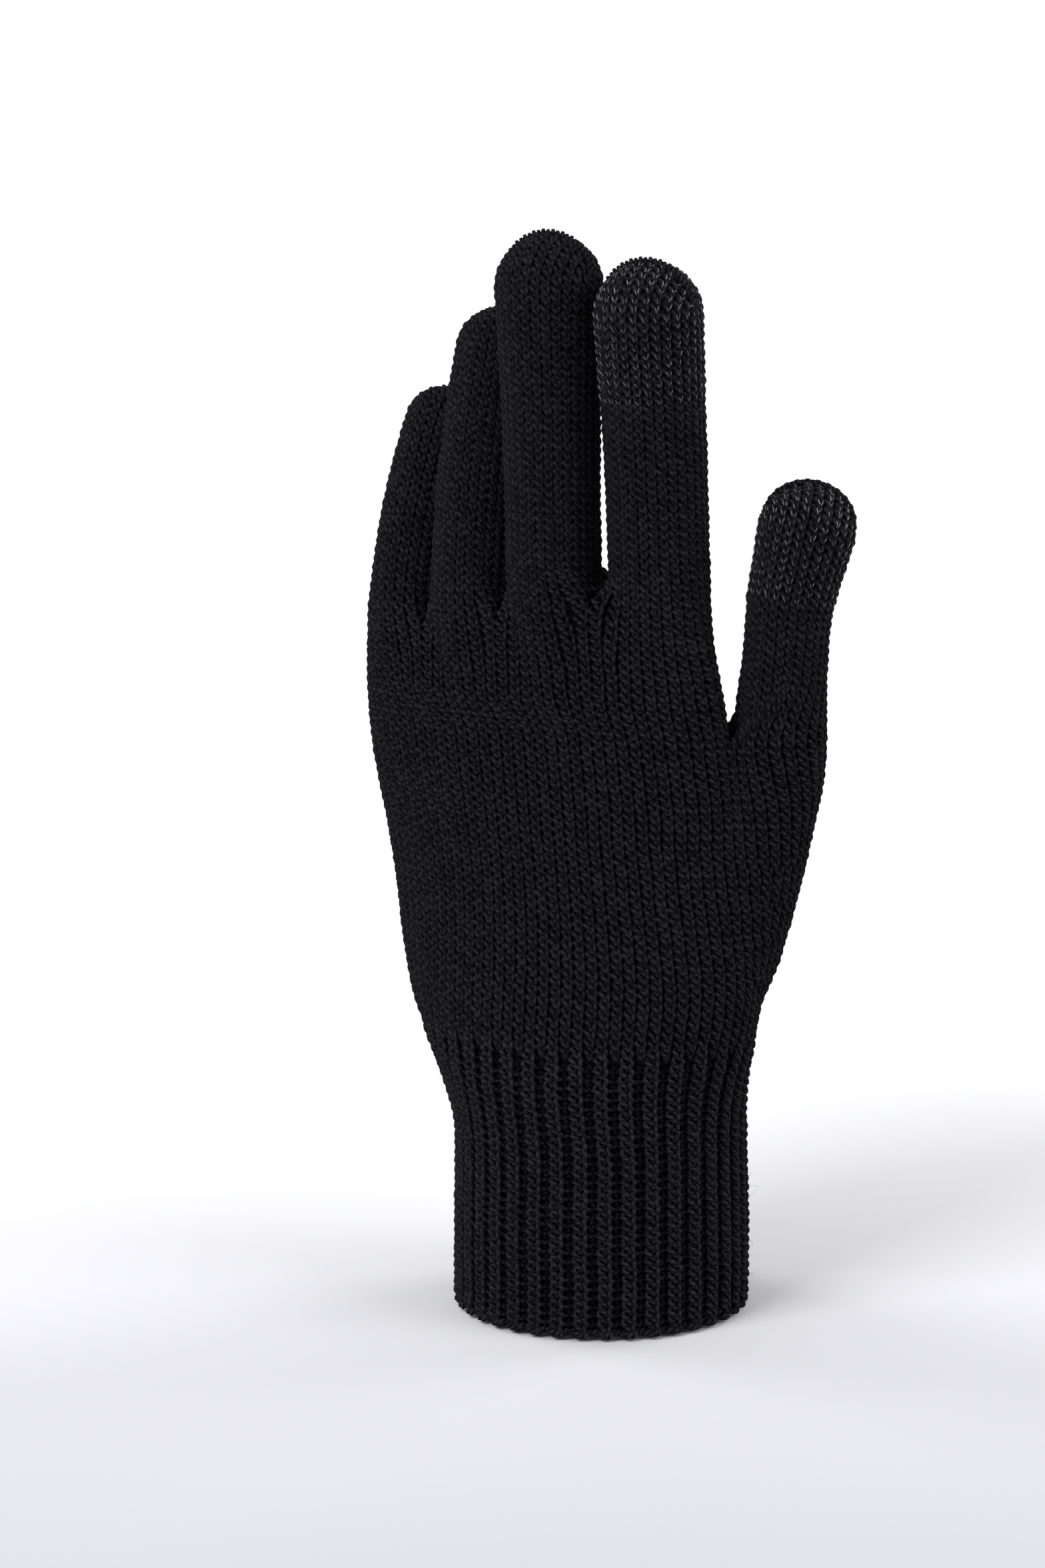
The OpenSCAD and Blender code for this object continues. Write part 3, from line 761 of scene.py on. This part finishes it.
def edge_yarn(cloth):
    """The start edge of the cuff: its yarn winds through the first loops, lower under the ribs."""
    wales = PALM_WALES + gore_wales(0)
    t = np.linspace(0, 2 * math.pi * wales, wales * STEPS + 1)
    place = t / (2 * math.pi)
    wave = np.clip(1.5 * np.cos(math.pi * (place - 0.5)), -1, 1)
    for turn, size in ((0, 0.5), (math.pi, 0.42)):
        cols = skin_columns(np.mod(place, wales), gore_wales(0))
        normal = sample(LOWER_N, np.zeros_like(cols) + 1, cols)
        points = sample(LOWER, np.zeros_like(cols), cols)
        points = points + normal * (RIB_WAVE * wave + size * np.cos(t + turn))[:, None]
        points[:, 2] += 0.45 + size * np.sin(t + turn) - 0.2 * wave
        cloth.tube(points[:-1], normal[:-1], YARN_R * 0.95, SIDES, True)


# Cuff, wrist and hand are two pieces each, so that no piece has too many triangles.
CUFF_MID = 20.0
PALM_MID = 106.0
for piece_name, low, high, node, edge in (("cuff_hem_knit", 0, CUFF_MID, "cuff_hem", True),
                                          ("cuff_rib_knit", CUFF_MID, WRIST_LOW, "cuff_elastic", False)):
    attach(lower_piece(piece_name, low, high, RIB, [node], edge), "cuff")
for piece_name, low, high, slot, yarn in (("wrist_rib_knit", WRIST_LOW, WRIST_Z, "rib_yarn", RIB),
                                          ("wrist_plain_knit", WRIST_Z, WRIST_HIGH, "black_yarn", BLACK)):
    wrist = lower_piece(piece_name, low, high, yarn, ["cuff_rib"])
    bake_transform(wrist)
for piece_name, low, high in (("palm_knit", WRIST_HIGH, PALM_MID), ("knuckle_knit", PALM_MID, FORK_Z)):
    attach(lower_piece(piece_name, low, high, BLACK, ["hand_tube"]), "hand")


def silver_legs(cloth, legs):
    """Filament that shows as a short bright dash on the bare part of each leg of a loop."""
    for points, normal, wales in legs:
        for k in range(wales):
            for middle, chance in ((2.4, 0.92), (9.5, 0.75)):
                if rng.uniform() > chance:
                    continue
                middle = k * STEPS + middle + rng.uniform(-0.3, 0.3)
                half = rng.uniform(0.4, 0.9)
                s = np.clip(np.linspace(middle - half, middle + half, 4), 0, len(points) - 1.001)
                low = np.floor(s).astype(int)
                part = (s - low)[:, None]
                p = points[low] * (1 - part) + points[low + 1] * part
                n = normal[low]
                side = np.cross(unit(np.gradient(p, axis=0)), n)
                slant = np.linspace(-1, 1, 4)[:, None] * rng.uniform(-0.05, 0.2) + rng.uniform(-0.1, 0.15)
                p = p + n * YARN_R * 0.98 + side * slant
                cloth.tube(p, n, rng.uniform(0.028, 0.062) * np.array([0.5, 1, 1, 0.5]), 4, False)


def binding(cloth, tube):
    """The bound-off ridge over the tip: yarn coiled round the edge where back and palm meet."""
    r = tube.radius + 0.6
    turns = int(round(r * math.pi * 1.06 / 2.25))
    t = np.linspace(0, 1, turns * 14 + 1)
    arc = math.radians(-5) + math.radians(190) * t
    out = np.stack([np.cos(arc), np.zeros_like(arc), np.sin(arc)], -1) @ tube.frame
    sunk = 1.0 * np.cos(arc) ** 8
    for start, size in ((0, 0.78), (math.pi, 0.62)):
        spin = 2 * math.pi * turns * t + start
        side = np.broadcast_to(tube.frame[1], out.shape)
        points = tube.line[-1] + out * (r - sunk + size * np.cos(spin))[:, None]
        points = points + side * (size * 1.1 * np.sin(spin))[:, None]
        cloth.tube(points, out, YARN_R * 0.92, SIDES, False)


def darning(cloth, tube):
    """A few threads drawn through each fork's stitches."""
    webs = sorted({p[0] for p in FINGERS[tube.name]["parts"]} - {"ring", "swell"})
    for fork in [fork_height(tube.name, web) for web in webs]:
        inside = np.flatnonzero(tube.web == fork)
        first, last = inside[0], inside[-1] + 1
        row = np.interp(fork, tube.line[:, 2], np.arange(tube.rows))
        for lift in (-1.2, 0.2):
            cols = np.linspace(first - 0.4, last + 0.4, 26) * SAMPLES
            wander = blur(rng.normal(0, 1.2, 26), 1.5)
            rows = row + (lift + wander * 0.6) / tube.dz
            normal = sample(tube.normal, rows, cols)
            points = sample(tube.grid, rows, cols) - 0.15 * normal
            cloth.tube(points, normal, YARN_R * 0.9, SIDES, False)


NODES_OF = {
    "index": (["index_base"], ["index_mid"], ["index_touch_tip", "index_binding"]),
    "middle": (["middle_base"], ["middle_mid"], ["middle_tip", "middle_binding"]),
    "ring": (["ring_base"], ["ring_mid"], ["ring_tip", "ring_binding"]),
    "little": (["little_base"], ["little_mid"], ["little_tip", "little_binding"]),
    "thumb": (["thumb_base"], ["thumb_touch_tip", "thumb_binding"]),
}


def finger(name):
    """All pieces of one finger, cut halfway between its joints."""
    tube = Tube(name)
    joints = joints_of(name)
    s_joint = [np.interp(j[2], tube.line[:, 2], np.arange(tube.rows)) * tube.dz for j in joints]
    cuts = [0] + [(a + b) / 2 for a, b in zip(s_joint, s_joint[1:])] + [1e3]
    first = COURSES[-1] + COURSE - BASE_Z
    arc_end = (tube.rows - 1) * tube.dz + tube.radius * math.pi / 2
    courses = np.arange(first, arc_end, COURSE)
    silver_from = arc_end - tube.radius * (math.pi / 2 - 1) - FINGERS[name]["silver"]
    # Painted shade: a dark sheet just behind the finger's loops, seen through the gaps between the
    # stitches.
    shade_sheet = tube.grid - tube.normal * 0.5
    line_z = np.interp(np.arange(len(tube.grid)), np.arange(tube.rows), tube.line[:, 2])
    web = np.repeat(tube.web, SAMPLES)
    for k, (low, high) in enumerate(zip(cuts, cuts[1:])):
        cloth, silver, last = Yarns(), Yarns(), k == len(joints) - 1
        for s in courses[(courses >= low) & (courses < high)]:
            legs = [] if FINGERS[name]["silver"] and s > silver_from else None
            tube_course(cloth, tube, s, legs)
            if legs:
                silver_legs(silver, legs)
        rows = np.arange(len(tube.grid)) * tube.dz
        keep = ((rows >= low - 0.6) & (rows < high + 0.2))[:, None] & (line_z[:, None] > web[None] - 0.5)
        cloth.sheet(shade_sheet[:, ::2], keep[:, ::2])
        top = min(high, (tube.rows - 1) * tube.dz + 8)
        bottom = s_joint[0] - WEB_TO_HINGE if k == 0 else low
        fibres(cloth, tube.grid, tube.normal, (bottom / tube.dz, top / tube.dz), int((top - bottom) * 6))
        if k == 0:
            darning(cloth, tube)
        if last:
            binding(cloth, tube)
        tip = last and FINGERS[name]["silver"]
        part = ("root", "joint", "tip")[k] if len(joints) == 3 else ("root", "tip")[k]
        nodes = list(NODES_OF[name][k])
        if name == "index" and k == 0:
            nodes.append("finger_webs")
        obj = finish_piece(cloth, f"{name}_{part}_knit",
                           [TOUCH if tip else BLACK, SHADE_SHEET, FUZZ], nodes)
        reach = 0.46 * min(np.diff([0, *s_joint, arc_end])[k:k + 2]) if k else 8.6
        reach = min(reach, 9.5)
        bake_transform(obj)
        if silver.co:
            wire = silver.build(f"{name}_{part}_silver", [SILVER])
            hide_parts(f"{name}_silver_yarn")
            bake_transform(wire)


for finger_name in FINGERS:
    finger(finger_name)


# ---------------------------------------------------------------- stage, light and camera

def floor_material(name, near, middle, far):
    """Pale floor with painted shade: its colour is a little darker in front of the glove than behind it.
    """
    m, tree, shader = material(name, far, 0.9, Specular_IOR_Level=0.1)
    place = tree.nodes.new("ShaderNodeTexCoord")
    dot = tree.nodes.new("ShaderNodeVectorMath")
    dot.operation = "DOT_PRODUCT"
    dot.inputs[1].default_value = tuple(FAR)
    tree.links.new(place.outputs["Object"], dot.inputs[0])
    fade = tree.nodes.new("ShaderNodeMapRange")
    for key, value in (("From Min", -0.25), ("From Max", 0.75)):
        fade.inputs[key].default_value = value
    tree.links.new(dot.outputs["Value"], fade.inputs["Value"])
    ramp = tree.nodes.new("ShaderNodeValToRGB")
    ramp.color_ramp.elements[0].color, ramp.color_ramp.elements[1].color = (*near, 1), (*far, 1)
    ramp.color_ramp.elements.new(0.5).color = (*middle, 1)
    tree.links.new(fade.outputs[0], ramp.inputs[0])
    tree.links.new(ramp.outputs[0], shader.inputs["Base Color"])
    return m


def stage_mesh(name, profile, half_width, surface):
    """A sweep: a profile of (distance, height) drawn out sideways, square to the camera."""
    mesh = bpy.data.meshes.new(name)
    verts, faces = [], []
    for side in (-half_width, half_width):
        for dist, height in profile:
            verts.append(tuple(FAR * dist + RIGHT * side + UP * height))
    n = len(profile)
    for i in range(n - 1):
        faces.append((i, i + 1, n + i + 1, n + i))
    mesh.from_pydata(verts, [], faces)
    mesh.shade_smooth()
    mesh.materials.append(surface)
    obj = bpy.data.objects.new(name, mesh)
    bpy.context.scene.collection.objects.link(obj)


AZIMUTH, ELEVATION, DISTANCE = math.radians(30), math.radians(10), 1.0
RIGHT = np.array([math.cos(AZIMUTH), math.sin(AZIMUTH), 0])
FAR = np.array([-math.sin(AZIMUTH), math.cos(AZIMUTH), 0])
TARGET = RIGHT * -0.0175 + UP * 0.1167
FLOOR = -0.0012
curve = [(0.9 + 0.5 * math.sin(a), FLOOR + 0.5 * (1 - math.cos(a)))
         for a in np.linspace(0, math.pi / 2, 14)]
# Painted shade on the floor, darker towards the camera; far off and on the backdrop it is evenly pale.
stage_mesh("backdrop", [(-1.6, FLOOR), *curve, (1.4, 2.6)], 2.5,
           floor_material("pale_floor", (0.31, 0.31, 0.335), (0.56, 0.56, 0.58), (0.86, 0.86, 0.89)))


def area_light(name, place, size, watts, color=(1, 1, 1)):
    data = bpy.data.lights.new(name, "AREA")
    data.energy, data.size, data.color = watts, size, color
    obj = bpy.data.objects.new(name, data)
    obj.location = place
    away = np.array(place) - TARGET
    obj.rotation_mode = "QUATERNION"
    from_z = Vector(tuple(away))
    obj.rotation_quaternion = from_z.to_track_quat("Z", "Y")
    bpy.context.scene.collection.objects.link(obj)


def around(right, far, up):
    return tuple(RIGHT * right + FAR * far + UP * up)


area_light("key", around(-0.75, -0.8, 1.0), 0.7, 22)
area_light("fill", around(0.9, -0.5, 0.6), 0.8, 9)
area_light("rim_left", around(-0.8, 0.5, 0.5), 0.5, 7)
area_light("rim_right", around(0.85, 0.5, 0.6), 0.5, 6)
world = bpy.data.worlds.new("soft_light")
bpy.context.scene.world = world
world.use_nodes = True
world.node_tree.nodes["Background"].inputs["Color"].default_value = (1, 1, 1, 1)
world.node_tree.nodes["Background"].inputs["Strength"].default_value = 0.75

camera_data = bpy.data.cameras.new("camera")
camera_data.sensor_fit = "VERTICAL"
camera_data.sensor_width = camera_data.sensor_height = 36
camera_data.lens = 104.08
camera_data.clip_end = 20
camera = bpy.data.objects.new("camera", camera_data)
back = -FAR * math.cos(ELEVATION) + UP * math.sin(ELEVATION)
camera.location = TARGET + back * DISTANCE
camera.rotation_mode = "QUATERNION"
camera.rotation_quaternion = Vector(tuple(back)).to_track_quat("Z", "Y")
bpy.context.scene.collection.objects.link(camera)
bpy.context.scene.camera = camera
bpy.context.scene.view_settings.view_transform = "Standard"
